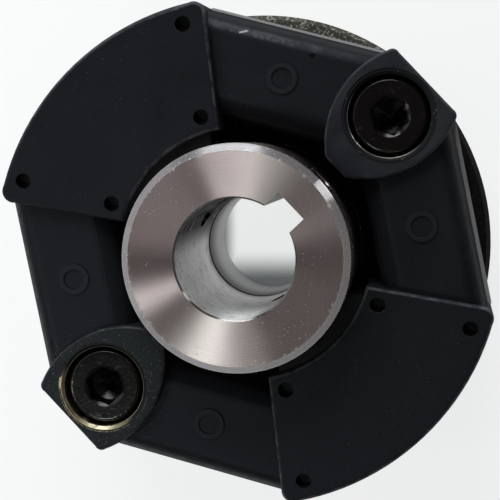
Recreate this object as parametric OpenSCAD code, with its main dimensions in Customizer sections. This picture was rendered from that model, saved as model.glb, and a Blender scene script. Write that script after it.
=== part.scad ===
// Flexible shaft coupling with a moulded rubber element.
// A turned hub passes through the element and is held in it by two radial screws.
// A flange hub stands behind the element and is bolted to it by two axial screws.
// Millimetres. +Z is the shaft axis, and z = 0 is the end of the flange hub's barrel.
// The axial screws and both keyways lie on the X axis, the radial screws on the Y axis.

/* [Bore] */
// Diameter of the shaft bore in both hubs
bore_d = 20; // [16:0.5:22]
// Width of the keyways
key_w = 6; // [4:0.5:8]
// Depth of the keyways beyond the bore wall
key_depth = 2.8; // [2:0.1:3.4]
// Chamfer on the edges of the bores
bore_chamfer = 0.3; // [0.1:0.1:0.8]

/* [Hub] */
// Outside diameter of the hub
hub_d = 38; // [36:0.5:40]
// Length of the hub
hub_l = 37; // [34:1:47]
// Chamfer on the outer edges of the hub
hub_chamfer = 1.2; // [0.4:0.1:2]
// Distance from the hub's front face to its set screw
hub_set_inset = 5.5; // [4.5:0.5:7]

/* [Flange hub] */
// Diameter of the flange
flange_d = 85; // [84:1:96]
// Thickness of the flange
flange_t = 10; // [8:0.5:14]
// Diameter of the barrel behind the flange
barrel_d = 55; // [48:1:58]
// Length of the barrel behind the flange
barrel_l = 10; // [8:1:24]
// Chamfer on the edges of the flange and the barrel
flange_chamfer = 0.8; // [0.4:0.1:1.5]
// Radius of the root between the barrel and the flange
root_r = 1.5; // [0.5:0.5:2.5]
// Gap between the ends of the two hubs
hub_gap = 1; // [0.5:0.5:4]

/* [Rubber element] */
// Diameter across the two blocks of the element
element_d = 87.4; // [87:0.2:94]
// Height of the element's front above the flange
element_h = 27; // [26:0.5:32]
// Clearance between the rubber and the flange
flange_clear = 2; // [1:0.5:3]
// Clearance between the rubber blocks and the hub
hub_clear = 2.6; // [1.5:0.1:3.5]
// Angle between a block's side and the block's own middle line
block_splay = 37; // [34:0.5:38]
// Distance from the shaft axis to the point where a block's sides would meet
block_apex = 3; // [2:0.5:5]
// Radius of a block's outer corners
block_corner_r = 2; // [1.6:0.2:4]
// Radius on the edges of a block's sides
block_edge_r = 0.6; // [0.4:0.05:1.2]
// Radius on the edges of a block's rim and hollow face
rim_edge_r = 0.76; // [0.5:0.02:1.4]
// Radius on the edges of a block's outer corners
corner_edge_r = 0.68; // [0.45:0.02:1.3]
// Angle from the X axis to the middle of an arm
arm_angle = 32; // [30:0.5:36]
// Distance from an arm's outer side to the rim of the blocks
arm_inset = 4.8; // [4:0.1:6]
// Clearance between an arm and the hub
arm_clear = 3.1; // [2.5:0.1:4]
// Step from a block's face down to an arm's face
arm_step = 2; // [1:0.5:3]
// Radius on the long edges of an arm
arm_edge_r = 3.5; // [2:0.5:5]
// Outer diameter of the round moulding mark on an arm
mark_d = 5.3; // [4:0.1:7]
// Width of the ring of that mark
mark_w = 0.85; // [0.5:0.05:1.5]
// Height of the ring of that mark
mark_h = 0.3; // [0.1:0.05:0.5]
// Distance from the middle of an arm to that mark, towards the block
mark_shift = 1.3; // [0:0.1:3]
// Height of the seam line left by the mould
seam_h = 0.7; // [0.1:0.1:1]
// Thickness of the seam line
seam_t = 0.5; // [0.3:0.1:1]

/* [Screw lugs of the element] */
// Rubber wall beside a sleeve at the lug's widest place
lug_wall = 1.4; // [1.1:0.1:2]
// Rubber skin between a sleeve and the lug's flat outer face
lug_skin = 0.4; // [0.2:0.1:0.8]
// How far the lug's widest place lies outside the bolt circle
lug_shift = 1; // [0:0.2:1.6]
// Radius of the lug's two bowed sides
lug_side_r = 16.5; // [15:0.5:20]
// Radius of the lug's outer corners
lug_corner_r = 1.2; // [0.8:0.1:2]
// Clearance between the lug's narrow end and the hub
lug_clear = 2.5; // [1.5:0.5:4]
// Radius on the edges of a lug's sides
lug_edge_r = 0.5; // [0.3:0.05:1]
// Radius on the edges of a lug's flat face and narrow end
flat_edge_r = 0.62; // [0.3:0.02:1]
// Radius on the edges of a lug's outer corners
lug_corner_edge_r = 0.56; // [0.3:0.02:1]

/* [Inserts] */
// Outside diameter of the sleeves round the axial screws
sleeve_d = 16; // [15.5:0.5:18]
// How far a sleeve's front lies below the rubber
sleeve_inset = 0.2; // [0:0.1:0.5]
// Chamfer on the mouth of a sleeve's recess
sleeve_chamfer = 0.5; // [0.2:0.1:0.6]
// Thickness of the rubber skin over the radial inserts
insert_skin = 1.8; // [1.4:0.1:3]
// Diameter of the mould pin holes in the blocks
pin_d = 2.7; // [2:0.1:3.5]
// Distance from a block's rim to the middle of its outer pin holes
pin_out_inset = 3.3; // [2.9:0.2:5]
// Angle from a block's middle line to the outer pin holes
pin_out_angle = 28.7; // [24:0.1:29]
// Distance from a block's hollow face to the middle of its inner pin holes
pin_in_inset = 2.8; // [2.4:0.2:4]
// Angle from a block's middle line to the inner pin holes
pin_in_angle = 26.2; // [20:0.1:27]

/* [Screws] */
// Diameter of the bolt circle of the axial screws
bolt_circle = 68; // [67:0.5:70]
// Thread diameter of the cap screws
screw_d = 8; // [6:1:8]
// Diameter of a cap screw's head
head_d = 13; // [10:0.5:13.5]
// Height of a cap screw's head
head_h = 8; // [6:0.5:8.5]
// Width across the flats of a cap screw's socket
socket_af = 6; // [5:0.5:6]
// Depth of a cap screw's socket
socket_depth = 4; // [3:0.5:5]
// Length of an axial screw under its head
axial_screw_l = 25; // [22:1:30]
// Length of a radial screw under its head
radial_screw_l = 20; // [18:1:21]
// Room round a screw's head in its recess, on the diameter
head_room = 1; // [0.5:0.1:1.2]
// Room round a screw's shank in an insert, on the diameter
shank_room = 1; // [0.4:0.1:1.2]
// Depth of an axial screw's head below the rubber
axial_recess = 1.2; // [0.5:0.1:2]
// Depth of a radial screw's head below the block's outer face
radial_recess = 4; // [3:0.5:5]

/* [Set screws] */
// Thread diameter of the set screws
set_d = 6; // [4:1:6]
// Length of a set screw
set_l = 6; // [5:0.5:6]
// Width across the flats of a set screw's socket
set_af = 3; // [2:0.5:3]
// Depth of a set screw's socket
set_socket_depth = 3; // [2:0.5:3.5]

/* [Hidden] */
$fn = 96;
cut = 0.5;
hex_sides = 6;
tip_chamfer = 0.8;
head_round = 0.8;
drill_cone = 0.3;
mouth_rim = 0.3;
mouth_slope = 60;
corner_swell = 0.04;
arm_overlap = 5;
arm_set_back = 0.5;
segment_spare = 13;

bore_r = bore_d / 2;
key_r = bore_r + key_depth;
hub_r = hub_d / 2;
flange_r = flange_d / 2;
barrel_r = barrel_d / 2;
bolt_r = bolt_circle / 2;
element_r = element_d / 2;

flange_face = barrel_l + flange_t;
hub_back = flange_face + hub_gap;
hub_front = hub_back + hub_l;

element_front = flange_face + element_h;
element_back = flange_face + flange_clear;
block_h = element_front - element_back;
mid_z = element_back + block_h / 2;
block_in_r = hub_r + hub_clear;
arm_in = hub_r + arm_clear;
arm_out = element_r - arm_inset;
arm_w = arm_out - arm_in;
arm_r = (arm_in + arm_out) / 2;
arm_h = block_h - 2 * arm_step;
arm_front = element_front - arm_step;
slab_reach = 2 * element_d;
segment_angle = block_splay + segment_spare;

// Centre of a block's outer corner, where the corner's circle meets the side and the rim
corner_orbit = element_r - block_corner_r;
corner_apex = block_apex + block_corner_r / sin(block_splay);
splay_t = tan(block_splay);
corner_root = sqrt(pow(corner_orbit, 2) * (1 + splay_t * splay_t) - pow(splay_t * corner_apex, 2));
corner_y = (splay_t * splay_t * corner_apex + corner_root) / (1 + splay_t * splay_t);
corner_x = splay_t * (corner_y - corner_apex);

// A lug's flat face, its narrow end, the middles of its bowed sides and of its outer corners
lug_x = bolt_r + lug_shift;
lug_flat = bolt_r + sleeve_d / 2 + lug_skin;
lug_end = hub_r + lug_clear;
lug_side_y = lug_side_r - sleeve_d / 2 - lug_wall;
lug_corner_x = lug_flat - lug_corner_r;
lug_corner_out = sqrt(pow(lug_side_r - lug_corner_r, 2) - pow(lug_corner_x - lug_x, 2));
lug_corner_y = lug_corner_out - lug_side_y;

sleeve_front = element_front - sleeve_inset;
recess_d = head_d + head_room;
shank_hole_d = screw_d + shank_room;
axial_seat_z = element_front - axial_recess - head_h;
radial_seat_r = element_r - radial_recess - head_h;
insert_r = element_r - insert_skin;
insert_apex = block_apex + insert_skin / sin(block_splay);
insert_h = block_h - 2 * insert_skin;
pin_out_r = element_r - pin_out_inset;
pin_in_r = block_in_r + pin_in_inset;

hub_set_z = hub_front - hub_set_inset;
flange_set_z = barrel_l / 2;

// Rectangle with round corners, its middle at the origin
module rounded_rect(w, h, r) {
    square([w - 2 * r, h], center = true);
    square([w, h - 2 * r], center = true);
    for (x = [-1, 1], y = [-1, 1])
        translate([x * (w / 2 - r), y * (h / 2 - r)])
            circle(r);
}

// Long slab of rubber with round edges, on the -Y side of its X axis
module rubber_slab(r) {
    translate([0, 0, mid_z])
        rotate([90, 0, 90])
            linear_extrude(slab_reach, center = true)
                translate([-slab_reach / 2, 0])
                    rounded_rect(slab_reach, block_h, r);
}

// Post of rubber with round edges
module rubber_post(post_r, r) {
    translate([0, 0, mid_z])
        rotate_extrude()
            intersection() {
                rounded_rect(2 * post_r, block_h, r);
                translate([0, -block_h / 2])
                    square([post_r, block_h]);
            }
}

// Segment of a rubber ring with round edges, round the shaft axis and over the +Y axis
module rubber_segment(in_r, out_r, r) {
    rotate(90 - segment_angle)
        rotate_extrude(angle = 2 * segment_angle)
            translate([(in_r + out_r) / 2, mid_z])
                rounded_rect(out_r - in_r, block_h, r);
}

// Room between the two sides of a block on the +Y axis
module block_sides() {
    intersection_for (side = [0, 1])
        mirror([side, 0, 0])
            translate([0, block_apex, 0])
                rotate(270 - block_splay)
                    rubber_slab(block_edge_r);
}

// Square corner of the rubber, to be taken off before a round corner is put in its place
module square_corner(middle, first_out, second_out) {
    translate([0, 0, element_back - cut])
        linear_extrude(block_h + 2 * cut)
            polygon([middle, middle + first_out, middle + first_out + second_out, middle + second_out]);
}

// Rubber block on the +Y axis, moulded round a radial insert
module block() {
    reach = 2 * block_corner_r;
    rim = atan2(corner_y, corner_x);
    side_out = reach * [cos(block_splay), -sin(block_splay)];
    rim_out = reach * [cos(rim), sin(rim)];
    difference() {
        intersection() {
            rubber_segment(block_in_r, element_r, rim_edge_r);
            block_sides();
        }
        for (side = [0, 1])
            mirror([side, 0, 0])
                square_corner([corner_x, corner_y], side_out, rim_out);
    }
    for (side = [-1, 1])
        translate([side * corner_x, corner_y, 0])
            rubber_post(block_corner_r + corner_swell, corner_edge_r);
}

// Rubber lug on the +X axis, moulded round a sleeve: two bowed sides, a flat face and a narrow end
module lug() {
    reach = 2 * lug_corner_r;
    bow = atan2(lug_corner_out, lug_corner_x - lug_x);
    flat_out = [reach, 0];
    side_out = reach * [cos(bow), sin(bow)];
    difference() {
        intersection() {
            translate([lug_flat, 0, 0])
                rotate(-90)
                    rubber_slab(flat_edge_r);
            translate([lug_end, 0, 0])
                rotate(90)
                    rubber_slab(flat_edge_r);
            translate([lug_x, -lug_side_y, 0])
                rubber_post(lug_side_r, lug_edge_r);
            translate([lug_x, lug_side_y, 0])
                rubber_post(lug_side_r, lug_edge_r);
        }
        for (side = [0, 1])
            mirror([0, side, 0])
                square_corner([lug_corner_x, lug_corner_y], flat_out, side_out);
    }
    for (side = [-1, 1])
        translate([lug_corner_x, side * lug_corner_y, 0])
            rubber_post(lug_corner_r + corner_swell, lug_corner_edge_r);
}

// Rubber arm between the lug on +X and the block on +Y, with its round moulding mark
module arm() {
    rim_reach = element_r - arm_set_back;
    block_reach = sqrt(pow(rim_reach, 2) - pow(arm_out, 2)) + arm_overlap;
    intersection() {
        rotate(arm_angle)
            translate([arm_r, 0, mid_z])
                rotate([90, 0, 0])
                    translate([0, 0, -block_reach])
                        linear_extrude(block_reach + element_r) {
                            rounded_rect(arm_w, arm_h, arm_edge_r);
                            square([arm_w + 2 * seam_h, seam_t], center = true);
                        }
        translate([0, -arm_overlap, element_back])
            cube([lug_flat - arm_set_back, element_r + arm_overlap, block_h]);
        translate([0, 0, element_back])
            cylinder(h = block_h, r = rim_reach);
    }
    rotate(arm_angle)
        translate([arm_r, mark_shift, arm_front - cut])
            difference() {
                cylinder(h = cut + mark_h, d = mark_d);
                cylinder(h = 2 * cut + mark_h, d = mark_d - 2 * mark_w);
            }
}

// Outer form of a radial insert on the +Y axis, a metal segment with its hollow face on the hub
module insert_form() {
    reach = [element_d * sin(block_splay), element_d * cos(block_splay)];
    translate([0, 0, mid_z - insert_h / 2])
        linear_extrude(insert_h)
            intersection() {
                difference() {
                    circle(insert_r);
                    circle(hub_r);
                }
                translate([0, insert_apex])
                    polygon([[0, 0], reach, [-reach[0], reach[1]]]);
            }
}

// Hole along the +Y axis at the height of the radial screws, from one radius to another
module radial_hole(d, from_r, to_r) {
    translate([0, from_r, mid_z])
        rotate([-90, 0, 0])
            cylinder(h = to_r - from_r, d = d);
}

// Mould pin holes through the front skin of a block on the +Y axis
module pin_holes() {
    for (side = [-1, 1], place = [[pin_out_r, pin_out_angle], [pin_in_r, pin_in_angle]])
        rotate(90 + side * place[1])
            translate([place[0], 0, element_front - insert_skin])
                cylinder(h = insert_skin + cut, d = pin_d);
}

// Shaft bore with chamfered ends and a keyway on the +X side
module keyed_bore(from_z, to_z) {
    mouth_r = bore_r + bore_chamfer + cut;
    rotate_extrude()
        polygon([
            [0, from_z - cut], [mouth_r, from_z - cut], [bore_r, from_z + bore_chamfer],
            [bore_r, to_z - bore_chamfer], [mouth_r, to_z + cut], [0, to_z + cut]
        ]);
    translate([0, -key_w / 2, from_z - cut])
        cube([key_r, key_w, to_z - from_z + 2 * cut]);
}

// Threaded hole of a set screw, from the keyway out along +X
module set_screw_hole(z, out_r) {
    translate([bore_r, 0, z])
        rotate([0, 90, 0])
            cylinder(h = out_r - bore_r + cut, d = set_d);
}

// Six-sided socket sunk from z = 0, with a countersunk mouth and the cone of the drill at its bottom
module hex_socket(af, depth) {
    corner_d = af / cos(180 / hex_sides);
    mouth_in = af - mouth_rim;
    mouth_h = (corner_d + mouth_rim - mouth_in) / 2 / tan(mouth_slope) + cut;
    translate([0, 0, cut - mouth_h])
        cylinder(h = mouth_h, d1 = mouth_in, d2 = mouth_in + 2 * mouth_h * tan(mouth_slope));
    translate([0, 0, -depth])
        cylinder(h = depth + cut, d = corner_d, $fn = hex_sides);
    translate([0, 0, -depth - drill_cone * af])
        cylinder(h = drill_cone * af, d1 = 0, d2 = af);
}

// Cap screw with its head's seat at z = 0 and its head above
module cap_screw(l) {
    shank_r = screw_d / 2;
    head_r = head_d / 2;
    difference() {
        rotate_extrude() {
            polygon([
                [0, -l], [shank_r - tip_chamfer, -l], [shank_r, tip_chamfer - l], [shank_r, 0],
                [head_r, 0], [head_r, head_h - head_round], [head_r - head_round, head_h], [0, head_h]
            ]);
            translate([head_r - head_round, head_h - head_round])
                circle(head_round);
        }
        translate([0, 0, head_h])
            hex_socket(socket_af, socket_depth);
    }
}

// Headless set screw along +X, its tip level with the keyway's floor
module set_screw(z) {
    set_r = set_d / 2;
    translate([key_r, 0, z])
        rotate([0, 90, 0])
            difference() {
                rotate_extrude()
                    polygon([
                        [0, 0], [set_r - tip_chamfer, 0], [set_r, tip_chamfer], [set_r, set_l], [0, set_l]
                    ]);
                translate([0, 0, set_l])
                    hex_socket(set_af, set_socket_depth);
            }
}

// Black flange hub: a barrel, a flange with two threaded holes, and a keyed bore
module flange_hub() {
    color("#2a2a28")
        difference() {
            rotate_extrude() {
                polygon([
                    [0, 0], [barrel_r - flange_chamfer, 0], [barrel_r, flange_chamfer], [barrel_r, barrel_l],
                    [flange_r - flange_chamfer, barrel_l], [flange_r, barrel_l + flange_chamfer],
                    [flange_r, flange_face - flange_chamfer], [flange_r - flange_chamfer, flange_face],
                    [0, flange_face]
                ]);
                difference() {
                    translate([barrel_r - cut, barrel_l - root_r])
                        square([root_r + cut, root_r + cut]);
                    translate([barrel_r + root_r, barrel_l - root_r])
                        circle(root_r);
                }
            }
            keyed_bore(0, flange_face);
            set_screw_hole(flange_set_z, barrel_r);
            for (side = [-1, 1])
                translate([side * bolt_r, 0, barrel_l - cut])
                    cylinder(h = flange_t + 2 * cut, d = screw_d);
        }
}

// Turned steel hub with a keyed bore, two radial threaded holes and a set screw hole
module hub() {
    color("#b9b6b0")
        difference() {
            rotate_extrude()
                polygon([
                    [0, hub_back], [hub_r - hub_chamfer, hub_back], [hub_r, hub_back + hub_chamfer],
                    [hub_r, hub_front - hub_chamfer], [hub_r - hub_chamfer, hub_front], [0, hub_front]
                ]);
            keyed_bore(hub_back, hub_front);
            set_screw_hole(hub_set_z, hub_r);
            radial_hole(screw_d, -hub_d, hub_d);
        }
}

// Moulded rubber element: two blocks, two lugs and the four arms that join them
module rubber_element() {
    color("#222326")
        difference() {
            for (turn = [0, 180])
                rotate(turn) {
                    block();
                    lug();
                    for (side = [0, 1])
                        mirror([0, side, 0])
                            arm();
                }
            for (turn = [0, 180])
                rotate(turn) {
                    translate([bolt_r, 0, element_back - cut])
                        cylinder(h = block_h + 2 * cut, d = sleeve_d);
                    insert_form();
                    radial_hole(recess_d, insert_r - cut, element_d);
                    pin_holes();
                }
        }
}

// Metal sleeve in a lug, which stands on the flange and takes the head of an axial screw
module axial_insert(turn) {
    color("#8d8463")
        rotate(turn)
            translate([bolt_r, 0, 0])
                difference() {
                    translate([0, 0, flange_face])
                        cylinder(h = sleeve_front - flange_face, d = sleeve_d);
                    translate([0, 0, axial_seat_z])
                        cylinder(h = sleeve_front - axial_seat_z + cut, d = recess_d);
                    translate([0, 0, sleeve_front - sleeve_chamfer])
                        cylinder(
                            h = sleeve_chamfer + cut,
                            d1 = recess_d,
                            d2 = recess_d + 2 * (sleeve_chamfer + cut)
                        );
                    translate([0, 0, flange_face - cut])
                        cylinder(h = sleeve_front - flange_face, d = shank_hole_d);
                }
}

// Metal segment in a block, which sits on the hub and takes the head of a radial screw
module radial_insert(turn) {
    color("#77787a")
        rotate(turn)
            difference() {
                insert_form();
                radial_hole(recess_d, radial_seat_r, element_d);
                radial_hole(shank_hole_d, 0, element_d);
            }
}

// Cap screw that clamps a sleeve to the flange
module axial_screw(turn) {
    color("#1b1a19")
        rotate(turn)
            translate([bolt_r, 0, axial_seat_z])
                cap_screw(axial_screw_l);
}

// Cap screw that clamps a radial insert to the hub
module radial_screw(turn) {
    color("#1b1a19")
        rotate(turn)
            translate([0, radial_seat_r, mid_z])
                rotate([-90, 0, 0])
                    cap_screw(radial_screw_l);
}

// Set screw over the key of the hub
module hub_set_screw() {
    color("#1b1a19")
        set_screw(hub_set_z);
}

// Set screw over the key of the flange hub
module flange_set_screw() {
    color("#1b1a19")
        set_screw(flange_set_z);
}

flange_hub();
flange_set_screw();
hub();
hub_set_screw();
rubber_element();
axial_insert(0);  // axial_insert_1
axial_insert(180);  // axial_insert_2
radial_insert(0);  // radial_insert_1
radial_insert(180);  // radial_insert_2
axial_screw(0);  // axial_screw_1
axial_screw(180);  // axial_screw_2
radial_screw(0);  // radial_screw_1
radial_screw(180);  // radial_screw_2
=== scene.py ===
import math

import bmesh
import bpy
from mathutils import Matrix, Vector


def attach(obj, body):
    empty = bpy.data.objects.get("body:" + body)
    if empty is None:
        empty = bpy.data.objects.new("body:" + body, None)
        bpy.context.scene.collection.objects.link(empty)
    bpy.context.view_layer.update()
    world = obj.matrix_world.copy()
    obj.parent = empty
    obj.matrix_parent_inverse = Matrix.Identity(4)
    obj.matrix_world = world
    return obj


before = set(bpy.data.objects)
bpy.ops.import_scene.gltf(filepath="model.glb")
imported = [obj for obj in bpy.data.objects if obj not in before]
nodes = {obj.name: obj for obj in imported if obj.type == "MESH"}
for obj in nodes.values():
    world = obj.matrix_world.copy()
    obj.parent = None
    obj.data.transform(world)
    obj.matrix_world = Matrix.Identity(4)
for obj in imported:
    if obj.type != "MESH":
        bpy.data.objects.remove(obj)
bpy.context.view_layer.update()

# Flange hub. One iron casting with a barrel, a flange and a keyed bore.
# It is turned, blackened all over and left rough on the rim; the bore is cut afterwards and stays bare.
MM = 0.001


class Field:
    """A number, vector or colour that changes over a finish; sums on it add nodes to that finish."""

    def __init__(self, tree, socket):
        self.tree = tree
        self.socket = socket

    def node(self, kind, settings, inputs, output=0):
        made = self.tree.nodes.new(kind)
        for name, value in settings.items():
            setattr(made, name, value)
        for name, value in inputs.items():
            if isinstance(value, Field):
                self.tree.links.new(value.socket, made.inputs[name])
            else:
                made.inputs[name].default_value = value
        return Field(self.tree, made.outputs[output])

    def maths(self, operation, *values):
        return self.node("ShaderNodeMath", {"operation": operation}, dict(enumerate(values)))

    def __add__(self, other):
        return self.maths("ADD", self, other)

    def __sub__(self, other):
        return self.maths("SUBTRACT", self, other)

    def __rsub__(self, other):
        return self.maths("SUBTRACT", other, self)

    def __mul__(self, other):
        return self.maths("MULTIPLY", self, other)

    def __truediv__(self, other):
        return self.maths("DIVIDE", self, other)

    __radd__ = __add__
    __rmul__ = __mul__


def new_finish(name, fixed):
    """A material, its shader and its Object coordinates; fixed holds what is the same all over."""
    material = bpy.data.materials.new(name)
    material.use_nodes = True
    tree = material.node_tree
    shader = tree.nodes["Principled BSDF"]
    for socket, value in fixed.items():
        shader.inputs[socket].default_value = value
    place = Field(tree, tree.nodes.new("ShaderNodeTexCoord").outputs["Object"])
    return material, shader, place


def feed(shader, socket, field):
    field.tree.links.new(field.socket, shader.inputs[socket])


def axes(vector):
    """The three numbers of a vector."""
    return [vector.node("ShaderNodeSeparateXYZ", {}, {0: vector}, output) for output in range(3)]


def radius(x, y):
    """How far a point is from a middle, from its two offsets."""
    squares = x * x + y * y
    return squares.maths("SQRT", squares)


def along(x, y, degrees):
    """How far a point lies from a middle in one direction across the shaft."""
    way = math.radians(degrees)
    return x * math.cos(way) + y * math.sin(way)


def rise(value, low, high):
    """0 below low, 1 above high and a smooth rise between; it falls where low is the larger."""
    return value.node(
        "ShaderNodeMapRange",
        {"interpolation_type": "SMOOTHSTEP"},
        {"Value": value, "From Min": low, "From Max": high},
    )


def rise_mm(value, low_mm, high_mm):
    """The same rise between two lengths."""
    return rise(value, low_mm * MM, high_mm * MM)


def grain(place, grain_mm, detail=2.0, roughness=0.5):
    """Noise from 0 to 1 whose patches are about grain_mm across."""
    return place.node(
        "ShaderNodeTexNoise",
        {},
        {"Vector": place, "Scale": 1 / (grain_mm * MM), "Detail": detail, "Roughness": roughness},
    )


def stretched(place, scale):
    """Coordinates that draw a pattern out along the axes where the scale is small."""
    return place.node("ShaderNodeVectorMath", {"operation": "MULTIPLY"}, {0: place, 1: scale})


def blended(mask, low, high):
    """The low colour where the mask is 0 and the high one where it is 1."""
    mask_in, low_in, high_in, colour_out = 0, 6, 7, 2
    inputs = {mask_in: mask, low_in: low, high_in: high}
    return mask.node("ShaderNodeMix", {"data_type": "RGBA"}, inputs, colour_out)


def bumped(height, distance_mm, strength):
    """The normal of a surface whose relief is height times distance_mm."""
    inputs = {"Height": height, "Distance": distance_mm * MM, "Strength": strength}
    return height.node("ShaderNodeBump", {}, inputs)


def black_iron_finish():
    material, shader, place = new_finish("blackened_iron", {"Specular IOR Level": 0.2})
    bare_r, black_r = 13.2, 13.6
    rim_start_r, rim_r = 33, 38
    lit_z, shaded_z = 9, 20
    lit_rim_way = 40
    rim_wear_and_light_tone, speck_tone = (0.085, 0.085, 0.066, 1), (0.5, 0.5, 0.45, 1)
    painted_shade_tone = (0.16, 0.16, 0.162, 1)
    x, y, z = axes(place)
    from_axis = radius(x, y)
    bare = rise_mm(from_axis, black_r, bare_r)
    rim = rise_mm(from_axis, rim_start_r, rim_r)
    toward_lit_rim = along(x, y, lit_rim_way) / from_axis
    patches = grain(place, 6.0, detail=4.0)
    grit = grain(place, 0.6, detail=3.0, roughness=0.65)
    soot = blended(patches, (0.004, 0.004, 0.0038, 1), (0.013, 0.013, 0.0115, 1))
    # Painted light: the rim is paler and speckled on the top side, where the lamp falls. The rough grey
    # texture is real, but placing it on the lit side stands in for light.
    rim_wear_and_light = rim * rise(toward_lit_rim, 0.62, 0.9) * rise(patches, 0.2, 0.5)
    rim_worn_and_lit = blended(rim_wear_and_light, soot, rim_wear_and_light_tone)
    specks = rise(grit, 0.52, 0.66) * (0.03 + 0.97 * rim_wear_and_light)
    speckled = blended(specks, rim_worn_and_lit, speck_tone)
    scored = grain(stretched(place, (1, 1, 0.03)), 0.25)
    cut = blended(scored, (0.46, 0.46, 0.46, 1), (0.62, 0.62, 0.616, 1))
    # Painted shade: the bore is darkened toward its front end at the hub, where shade falls inside it.
    bore = blended(rise_mm(z, lit_z, shaded_z), cut, painted_shade_tone)
    feed(shader, "Base Color", blended(bare, speckled, bore))
    feed(shader, "Metallic", 0.6 * bare)
    feed(shader, "Roughness", 0.62 + 0.25 * grit - 0.15 * bare)
    relief = grit * (1 - bare) + 0.25 * scored * bare
    feed(shader, "Normal", bumped(relief, distance_mm=0.16, strength=0.9))
    return material


iron_finish = black_iron_finish()
nodes["flange_hub"].data.materials[0] = iron_finish

# Tapped threads. They are cut into the flange, the barrel and the hub, for the screws that hold the parts.
# What a screw leaves free of each hole shows its ridge, one tooth wound along the hole.
BOLT_CIRCLE_R = 34
FLANGE_BACK_Z = 10.1
BARREL_HOLE_X, BARREL_HOLE_Z = 18.9, 5
M8_HOLE, M6_HOLE = (4, 1.25), (3, 1)


def tapped_thread(name, start_mm, direction, hole, finish, turns):
    """The ridge of a tapped hole of one radius and pitch: a flat tooth, spun while it moves along."""
    hole_r, pitch = hole
    steps_per_turn = 36
    depth, foot, crest, rooted = 0.54 * pitch, 0.86 * pitch, 0.3 * pitch, 0.05
    start, direction = Vector(start_mm), Vector(direction)
    across = direction.orthogonal().normalized()
    profile = [
        (hole_r + rooted, 0.0),
        (hole_r - depth, (foot - crest) / 2),
        (hole_r - depth, (foot + crest) / 2),
        (hole_r + rooted, foot),
    ]
    bm = bmesh.new()
    corners = [bm.verts.new((start + across * out + direction * forward) * MM) for out, forward in profile]
    tooth = bm.faces.new(corners)
    bmesh.ops.spin(
        bm,
        geom=list(tooth.verts) + list(tooth.edges) + [tooth],
        cent=start * MM,
        axis=direction,
        dvec=direction * pitch * MM / steps_per_turn,
        angle=math.tau * turns,
        steps=round(steps_per_turn * turns),
    )
    bmesh.ops.recalc_face_normals(bm, faces=bm.faces)
    mesh = bpy.data.meshes.new(name)
    bm.to_mesh(mesh)
    bm.free()
    mesh.materials.append(finish)
    thread = bpy.data.objects.new(name, mesh)
    bpy.context.scene.collection.objects.link(thread)
    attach(thread, "root")


for number, side in ((1, 1), (2, -1)):
    thread_name = f"flange_thread_{number}"
    bolt_hole = (side * BOLT_CIRCLE_R, 0, FLANGE_BACK_Z)
    tapped_thread(thread_name, bolt_hole, (0, 0, 1), M8_HOLE, iron_finish, turns=2)
barrel_hole = (BARREL_HOLE_X, 0, BARREL_HOLE_Z)
tapped_thread("set_screw_thread", barrel_hole, (1, 0, 0), M6_HOLE, iron_finish, turns=7.4)

# Sleeves and segments inside the rubber. The sleeves are yellow-plated steel tubes on the flange.
# The segments are light alloy, coated black; the rubber is moulded round all four.


def larger(first, second):
    return first.maths("MAXIMUM", first, second)


def plated_sleeve_finish():
    material, shader, place = new_finish("yellow_plated_steel", {"Specular IOR Level": 0.25})
    worn_and_lit_way = 189
    worn_x, worn_y = -39.0, 5.5
    pale_tone = (0.55, 0.55, 0.54, 1)
    x, y, z = axes(place)
    side = x.maths("SIGN", x)
    left = rise(side, 0.5, -0.5)
    off_bolt = x - BOLT_CIRCLE_R * MM * side
    from_bolt = radius(off_bolt, y)
    toward_worn_and_lit = along(off_bolt, y, worn_and_lit_way) / from_bolt
    # Painted highlight: bare plating and a paler film show only on the side of each sleeve where light
    # catches the recess. The rubber film and worn plating are real, but placing them on that side is
    # painted light.
    worn_and_lit_side = rise(toward_worn_and_lit, 0.1, 0.8)
    dull = grain(place, 1.6, detail=3.0)
    chips = grain(place, 0.5, detail=3.0, roughness=0.6)
    at_front = rise_mm(z, 46.4, 46.6)
    outer_line = rise_mm(from_bolt, 7.78, 7.86) * rise(chips, 0.42, 0.56) * left * at_front
    outer_edge = outer_line * (0.12 + 0.4 * worn_and_lit_side)
    mouth = rise_mm(from_bolt, 7.6, 7.52) * worn_and_lit_side * left
    lined = larger(left * (0.3 + 0.7 * rise(toward_worn_and_lit, -0.6, 0.3)), rise(toward_worn_and_lit, 0.0, 0.7))
    mouth_line = rise_mm(from_bolt, 7.16, 7.08) * lined
    inner_edge = mouth_line * rise_mm(z, 46.0, 46.2)
    below_rubber = rise_mm(z, 30, 28) * 0.7
    edges = larger(larger(outer_edge, mouth), larger(inner_edge, below_rubber))
    from_worn = radius(x - worn_x * MM, y - worn_y * MM) + 1.4 * MM * (chips - 0.5)
    worn = rise_mm(from_worn, 1.25, 0.9)
    specks = rise(chips, 0.66, 0.71)
    clean = larger(edges, larger(worn, specks * 0.3)) * (1 - 0.7 * rise(dull, 0.56, 0.74))
    grime = 1 - clean
    yellow = blended(dull, (0.50, 0.42, 0.23, 1), (0.68, 0.63, 0.48, 1))
    plate = blended(0.35 + 0.65 * left, pale_tone, yellow)
    film = blended(worn_and_lit_side * left, (0.007, 0.0085, 0.0095, 1), (0.05, 0.048, 0.028, 1))
    feed(shader, "Base Color", blended(grime, plate, film))
    feed(shader, "Metallic", 1 - grime)
    feed(shader, "Roughness", 0.24 + 0.16 * dull + 0.24 * grime)
    feed(shader, "Normal", bumped(dull + 0.5 * chips, distance_mm=0.05, strength=0.6))
    return material


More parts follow.
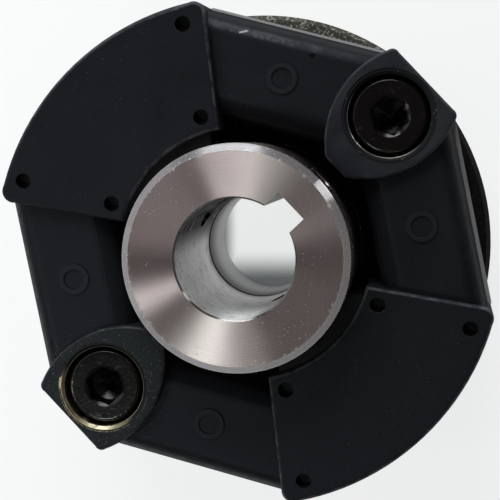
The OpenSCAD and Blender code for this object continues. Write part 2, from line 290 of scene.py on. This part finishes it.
def coated_alloy_finish():
    material, shader, place = new_finish("coated_alloy", {"Metallic": 0.0, "Specular IOR Level": 0.2})
    film = grain(place, 1.5, detail=3.0)
    feed(shader, "Base Color", blended(film, (0.003, 0.003, 0.0034, 1), (0.009, 0.009, 0.0095, 1)))
    feed(shader, "Roughness", 0.5 + 0.3 * film)
    feed(shader, "Normal", bumped(grain(place, 0.4), distance_mm=0.04, strength=0.5))
    return material


sleeve_finish = plated_sleeve_finish()
segment_finish = coated_alloy_finish()
for number in (1, 2):
    nodes[f"axial_insert_{number}"].data.materials[0] = sleeve_finish
    nodes[f"radial_insert_{number}"].data.materials[0] = segment_finish

# Rubber element. One moulding of black natural rubber: two blocks, two lugs and four arms.
# It comes out of its mould with a fine matt skin and a pale seam, painted paler still as a highlight; use
# has left dust and scuffs on it.
FRONT_Z, ARM_Z, MIDDLE_Z = 47, 45, 34.5


def facing_front(place):
    """1 where a surface faces the front along the shaft, 0 on a side wall and -1 at the back."""
    return axes(place.node("ShaderNodeNewGeometry", {}, {}, "Normal"))[2]


def size_of(value):
    return value.maths("ABSOLUTE", value)


def moulded_rubber_finish():
    material, shader, place = new_finish(
        "moulded_rubber", {"Specular IOR Level": 0.26, "Specular Tint": (0.83, 0.89, 1.0, 1)}
    )
    shaded_edge_way = 134
    glint_way, glint_x, glint_y = -33, 25.9, 27.5
    chip_x, chip_y = 31.5, 16.4
    smudge_tone, scuff_and_sheen_tone = (0.024, 0.026, 0.03, 1), (0.1, 0.103, 0.11, 1)
    block_tone, lug_tone = (0.065, 0.068, 0.077, 1), (0.12, 0.125, 0.13, 1)
    mark_highlight_tone, seam_and_highlight_tone = (0.03, 0.032, 0.037, 1), (0.6, 0.6, 0.605, 1)
    glint_tone, chip_tone = (0.5, 0.5, 0.5, 1), (0.001, 0.001, 0.001, 1)
    dust_tone = (0.13, 0.13, 0.135, 1)
    x, y, z = axes(place)
    from_axis = radius(x, y)
    outside = rise_mm(from_axis, 29, 31)
    left = rise_mm(x, 1, -1)
    n_z = facing_front(place)
    cloud = grain(place, 8.0, detail=4.0, roughness=0.6)
    skin = grain(place, 0.5, detail=3.0, roughness=0.6)
    dents = grain(place, 2.2, detail=3.0, roughness=0.55)
    smeared = place.node("ShaderNodeMapping", {}, {0: place, "Rotation": (0, 0, 0.7), "Scale": (1, 5, 1)})
    rub = grain(smeared, 1.3, detail=4.0, roughness=0.6)
    black = blended(cloud, (0.0038, 0.0048, 0.0062, 1), (0.0090, 0.0098, 0.0122, 1))
    smudged = blended(rise(rub, 0.6, 0.8) * 0.5, black, smudge_tone)

    # Painted sheen: a pale band on the shoulder of the top arm, where the lamp's reflection falls. The
    # scuffs in it are real wear; the band itself stands in for light.
    shoulder = rise(n_z, 0.995, 0.96) * rise(n_z, 0.8, 0.88)
    top_arm_sheen_place = rise_mm(from_axis, 34, 35) * rise_mm(x, 14, 18) * rise_mm(y, 10, 22)
    blotches = rise(grain(place, 3.4, detail=3.0, roughness=0.6), 0.42, 0.58)
    scratches = rise(grain(place, 0.6, detail=4.0, roughness=0.7), 0.4, 0.62)
    scuffs_and_sheen = shoulder * top_arm_sheen_place * (0.4 + 0.6 * blotches) * (0.4 + 0.6 * scratches)
    scuffed_and_sheened = blended(scuffs_and_sheen * 0.8, smudged, scuff_and_sheen_tone)

    # The pale front edges are partly real wear and partly painted highlight. They are kept dark on the
    # side away from the lamp, as painted shade.
    toward_shaded_edges = along(x, y, shaded_edge_way) / from_axis
    worn_and_lit_side = 1 - 0.85 * rise(toward_shaded_edges, 0.86, 0.96)
    worn_and_lit_edge = rise_mm(z, FRONT_Z - 0.8, FRONT_Z - 0.5) * rise(n_z, 0.99, 0.86) * worn_and_lit_side
    edge_wear_and_highlight_tone = blended(rise_mm(size_of(x), 22, 25), block_tone, lug_tone)
    worn = blended(worn_and_lit_edge * (0.25 + 0.75 * rise(dents, 0.4, 0.62)), scuffed_and_sheened, edge_wear_and_highlight_tone)

    # Painted highlight: the ring marks, and their sides most of all, are made paler where light would
    # catch their relief.
    mark = rise_mm(z, ARM_Z + 0.12, ARM_Z + 0.2) * rise_mm(z, ARM_Z + 0.6, ARM_Z + 0.4)
    mark_highlighted = blended(mark * (0.25 + 0.75 * rise(n_z, 0.9, 0.6)), worn, mark_highlight_tone)
    # The seam is pale flash, painted paler still on its top face as a highlight where light catches it.
    at_seam = rise_mm(size_of(z - MIDDLE_Z * MM), 0.34, 0.24)
    seam = at_seam * outside * (0.12 + 0.88 * rise(n_z, 0.3, 0.7))
    seamed_and_highlighted = blended(seam, mark_highlighted, seam_and_highlight_tone)

    in_front = rise_mm(z, 40, 42)
    # Painted glint: a short pale streak on the top arm's shoulder stands in for a reflection of the lamp.
    off_glint_x, off_glint_y = x - glint_x * MM, y - glint_y * MM
    glint_length = rise_mm(size_of(along(off_glint_x, off_glint_y, glint_way)), 0.95, 0.5)
    glint_width = rise_mm(size_of(along(off_glint_x, off_glint_y, glint_way + 90)), 0.22, 0.08)
    glinted = blended(glint_length * glint_width * in_front, seamed_and_highlighted, glint_tone)
    from_chip = radius(x - chip_x * MM, y - chip_y * MM) + 0.9 * MM * (skin - 0.5)
    chip = rise_mm(from_chip, 0.6, 0.35) * in_front
    chipped = blended(chip, glinted, chip_tone)

    on_lug = rise_mm(radius(size_of(x) - BOLT_CIRCLE_R * MM, y), 13.5, 10)
    near_lug = on_lug * left
    # The lug tops are a little paler in cloudy patches, the right lug more than the left.
    pale_lug_tone = blended(left, (0.027, 0.0285, 0.034, 1), (0.014, 0.0175, 0.0175, 1))
    paled_lug_tops = blended(on_lug * rise(cloud, 0.2, 0.6) * rise_mm(z, 45.5, 46), chipped, pale_lug_tone)
    gathered = larger(near_lug, rise(grain(place, 7.0), 0.5, 0.7) * 0.55)
    dust = rise(grain(place, 0.3, detail=1.0) + 0.06 * gathered, 0.74, 0.79)
    feed(shader, "Base Color", blended(dust * (0.45 + 0.55 * near_lug), paled_lug_tops, dust_tone))

    rounded = rise(n_z, 0.995, 0.96) * rise(n_z, 0.5, 0.7) * rise_mm(z, ARM_Z + 0.1, ARM_Z)
    polished = rounded * (0.14 * rise(dents, 0.4, 0.6) * outside - 0.4 * (1 - outside))
    dull_sides = 0.45 * rise(n_z, 0.6, 0.25)
    feed(shader, "Roughness", 0.42 + 0.18 * cloud + 0.08 * skin - polished + dull_sides + 0.4 * chip)
    relief = skin + 1.6 * dents - 8 * chip
    feed(shader, "Normal", bumped(relief, distance_mm=0.035, strength=0.7))
    return material


nodes["rubber_element"].data.materials[0] = moulded_rubber_finish()

# Hub. A plain steel turning with a keyed bore, pushed through the element from the front.
# Turning leaves fine rings on its faces, and boring leaves short marks round its bore.
RADIAL_HOLE_Y = 10.1


def turned_steel_finish():
    material, shader, place = new_finish(
        "turned_steel", {"Specular IOR Level": 0.0, "Anisotropic": 0.95, "Anisotropic Rotation": 0.25}
    )
    shaded_wall_way = 84
    nick_r = 17.75
    speck_tone, fleck_tone = (0.78, 0.77, 0.75, 1), (0.16, 0.16, 0.16, 1)
    wall_shade_tone, painted_shade_tone = (0.03, 0.03, 0.031, 1), (0.16, 0.16, 0.162, 1)
    hole_shade_tone = (0.01, 0.01, 0.01, 1)
    x, y, z = axes(place)
    from_axis = radius(x, y)
    n_z = facing_front(place)

    def rings(spacing_mm):
        return place.node(
            "ShaderNodeTexNoise",
            {"noise_dimensions": "1D"},
            {"W": from_axis + 0.7 * z, "Scale": 1 / (spacing_mm * MM), "Detail": 2.0, "Roughness": 0.6},
        )

    on_face = rise(size_of(n_z), 0.5, 0.8)
    on_chamfer = rise(size_of(n_z), 0.92, 0.85) * on_face
    flat = rise(n_z, 0.92, 0.97)
    in_bore = rise_mm(from_axis, 13.2, 12.9) * (1 - on_face)
    outside = rise_mm(from_axis, 18.8, 18.9) * (1 - on_face)

    stain = grain(place, 5.0, detail=4.0)
    steel = blended(stain, (0.60, 0.495, 0.48, 1), (0.69, 0.585, 0.565, 1))
    # Painted shade: the chamfer at the mouth of the bore is painted darker than the outer one.
    bevel_with_shaded_mouth = blended(rise_mm(from_axis, 14, 13), (0.36, 0.37, 0.39, 1), (0.15, 0.155, 0.16, 1))
    turning = blended(on_chamfer, steel, bevel_with_shaded_mouth)
    near_rim = rise_mm(size_of(from_axis - nick_r * MM), 0.4, 0.1)
    nicks = near_rim * rise(grain(place, 0.9, detail=4.0, roughness=0.7), 0.56, 0.66)
    specks = larger(nicks, rise(grain(place, 0.4, detail=1.0), 0.71, 0.76))
    speckled = blended(specks, turning, speck_tone)

    drawn = grain(stretched(place, (0.26, 0.26, 1)), 0.45, detail=4.0, roughness=0.7)
    bored = blended(rise(drawn, 0.35, 0.6), (1.0, 1.0, 0.99, 1), (0.86, 0.86, 0.855, 1))
    # Painted shade: the bore wall is darkened and made less metallic on one side, where it faces away from
    # the light.
    toward_shaded_wall = along(x, y, shaded_wall_way) / from_axis
    shaded_wall = rise(toward_shaded_wall, 0.6, 0.95) * rise(drawn, 0.72, 0.45)
    wall_shaded = blended(shaded_wall, bored, wall_shade_tone)
    flecks = rise(drawn, 0.55, 0.64) * rise(grain(place, 2.0, detail=3.0), 0.42, 0.56)
    scored = blended(flecks, wall_shaded, fleck_tone)
    # Painted shade: the bore darkens toward the hub's back end.
    shaded = blended(0.75 * rise_mm(z, 26, 20.5), scored, painted_shade_tone)
    # Painted shade: the wall and thread inside each radial hole are painted near-black, as shade in the
    # hole.
    shaded_hole = rise_mm(radius(x, z - MIDDLE_Z * MM), 4.06, 4.0)
    hole_shaded = blended(shaded_hole, shaded, hole_shade_tone)

    feed(shader, "Metallic", 1 - larger(0.8 * shaded_wall, shaded_hole) * in_bore)
    feed(shader, "Base Color", blended(in_bore, speckled, hole_shaded))
    turned = 0.33 + 0.04 * stain + 0.03 * rings(0.3)
    feed(shader, "Roughness", turned - 0.15 * on_chamfer + 0.2 * specks - 0.2 * outside)
    leaning = 9 * flat * from_axis / MM
    relief = drawn * in_bore + (2 * rings(0.2) - leaning) * on_face + 2 * specks
    feed(shader, "Normal", bumped(relief, distance_mm=0.02, strength=0.5))
    return material


steel_finish = turned_steel_finish()
nodes["hub"].data.materials[0] = steel_finish
for number, side in ((1, 1), (2, -1)):
    thread_name = f"hub_thread_{number}"
    radial_hole = (0, side * RADIAL_HOLE_Y, MIDDLE_Z)
    tapped_thread(thread_name, radial_hole, (0, side, 0), M8_HOLE, steel_finish, turns=1)

# Screws. Forged socket-head cap screws and cup-point set screws in black oxide.
# The two axial ones clamp the sleeves to the flange, and the radial ones clamp the segments to the hub.


def black_oxide_finish():
    material, shader, place = new_finish("black_oxide", {"Metallic": 0.0, "Specular IOR Level": 0.38})
    rust_tone, scale_tone = (0.02, 0.016, 0.013, 1), (0.04, 0.037, 0.034, 1)
    oil = grain(place, 2.4, detail=3.0)
    scale = grain(place, 0.5, detail=3.0)
    rust = rise(grain(place, 1.3, detail=3.0), 0.58, 0.72)
    oxide = blended(oil, (0.0024, 0.0020, 0.0018, 1), (0.0068, 0.0052, 0.0044, 1))
    dulled = blended(rust * 0.5, oxide, rust_tone)
    feed(shader, "Base Color", blended(rise(scale, 0.66, 0.76) * 0.4, dulled, scale_tone))
    feed(shader, "Roughness", 0.13 + 0.12 * oil + 0.14 * rust)
    feed(shader, "Normal", bumped(scale + 0.6 * oil, distance_mm=0.05, strength=0.6))
    return material


screw_finish = black_oxide_finish()
cap_screws = ("axial_screw_1", "axial_screw_2", "radial_screw_1", "radial_screw_2")
set_screws = ("hub_set_screw", "flange_set_screw")
for name in cap_screws + set_screws:
    nodes[name].data.materials[0] = screw_finish

# Studio. A white sheet under the coupling, soft lamps and the dim room that the steel mirrors.
# The camera stands over the front of the hub, where the photograph was taken from.
TURN = -43.05
AIM = (0, 0, 0.04)


def pale_sheet():
    half_width = 3.0
    lit_tone, painted_shade_tone = (0.99, 1.0, 1.0, 1), (0.1, 0.11, 0.115, 1)
    bm = bmesh.new()
    bmesh.ops.create_grid(bm, x_segments=1, y_segments=1, size=half_width)
    mesh = bpy.data.meshes.new("pale_sheet")
    bm.to_mesh(mesh)
    bm.free()
    sheet = bpy.data.objects.new("pale_sheet", mesh)
    bpy.context.scene.collection.objects.link(sheet)
    material, shader, place = new_finish(
        "white_sheet", {"Base Color": (0.3, 0.3, 0.3, 1), "Roughness": 0.8, "Emission Strength": 0.78}
    )
    x, y = axes(place)[:2]
    # Painted shadow: under the bore the sheet's glow darkens toward one side, as the coupling's shade
    # falling through the bore.
    below = along(x, y, TURN - 90)
    aside = along(x, y, TURN)
    under_bore = rise_mm(radius(x, y), 14, 12)
    shade = larger(rise_mm(below, 2.5, 9), rise_mm(aside, -7, -11)) * under_bore
    feed(shader, "Emission Color", blended(shade, lit_tone, painted_shade_tone))
    mesh.materials.append(material)


def lamp(name, azimuth, tilt, distance, size, power, colour):
    """A square soft lamp; azimuth is seen from the camera and tilt is from the shaft axis."""
    data = bpy.data.lights.new(name, "AREA")
    data.size = size
    data.energy = power
    data.color = colour
    lit = bpy.data.objects.new(name, data)
    bpy.context.scene.collection.objects.link(lit)
    around, down = math.radians(azimuth + TURN), math.radians(tilt)
    way = Vector((math.sin(down) * math.cos(around), math.sin(down) * math.sin(around), math.cos(down)))
    lit.location = Vector(AIM) + way * distance
    lit.rotation_euler = way.to_track_quat("Z", "Y").to_euler()


pale_sheet()
lamp("lamp_above", azimuth=100, tilt=60, distance=0.9, size=0.5, power=4.6, colour=(0.95, 0.99, 1.0))
lamp("lamp_fill", azimuth=155, tilt=58, distance=0.4, size=0.3, power=0.24, colour=(0.96, 0.97, 1.0))
lamp("lamp_near", azimuth=240, tilt=30, distance=0.5, size=0.066, power=0.26, colour=(0.87, 1.0, 0.97))
lamp("lamp_left", azimuth=205, tilt=45, distance=0.18, size=0.02, power=0.025, colour=(0.93, 0.98, 1.0))
lamp("lamp_window", azimuth=38, tilt=84, distance=1.0, size=0.2, power=0.5, colour=(0.97, 0.99, 1.0))

world = bpy.data.worlds.new("room")
bpy.context.scene.world = world
world.use_nodes = True
room = world.node_tree.nodes["Background"]
room.inputs["Color"].default_value = (0.08, 0.071, 0.073, 1)
room.inputs["Strength"].default_value = 1.0
bpy.context.scene.view_settings.view_transform = "Standard"

camera_place = (0.0386, -0.0088, 0.2997)
lean_x, lean_y = -4.35, 7.43
camera_data = bpy.data.cameras.new("camera")
camera_data.sensor_width = 36
camera_data.lens = 108
camera = bpy.data.objects.new("camera", camera_data)
bpy.context.scene.collection.objects.link(camera)
turned = Matrix.Rotation(math.radians(TURN), 4, "Z")
leaned = Matrix.Rotation(math.radians(lean_x), 4, "X") @ Matrix.Rotation(math.radians(lean_y), 4, "Y")
camera.matrix_world = Matrix.Translation(camera_place) @ turned @ leaned
bpy.context.scene.camera = camera
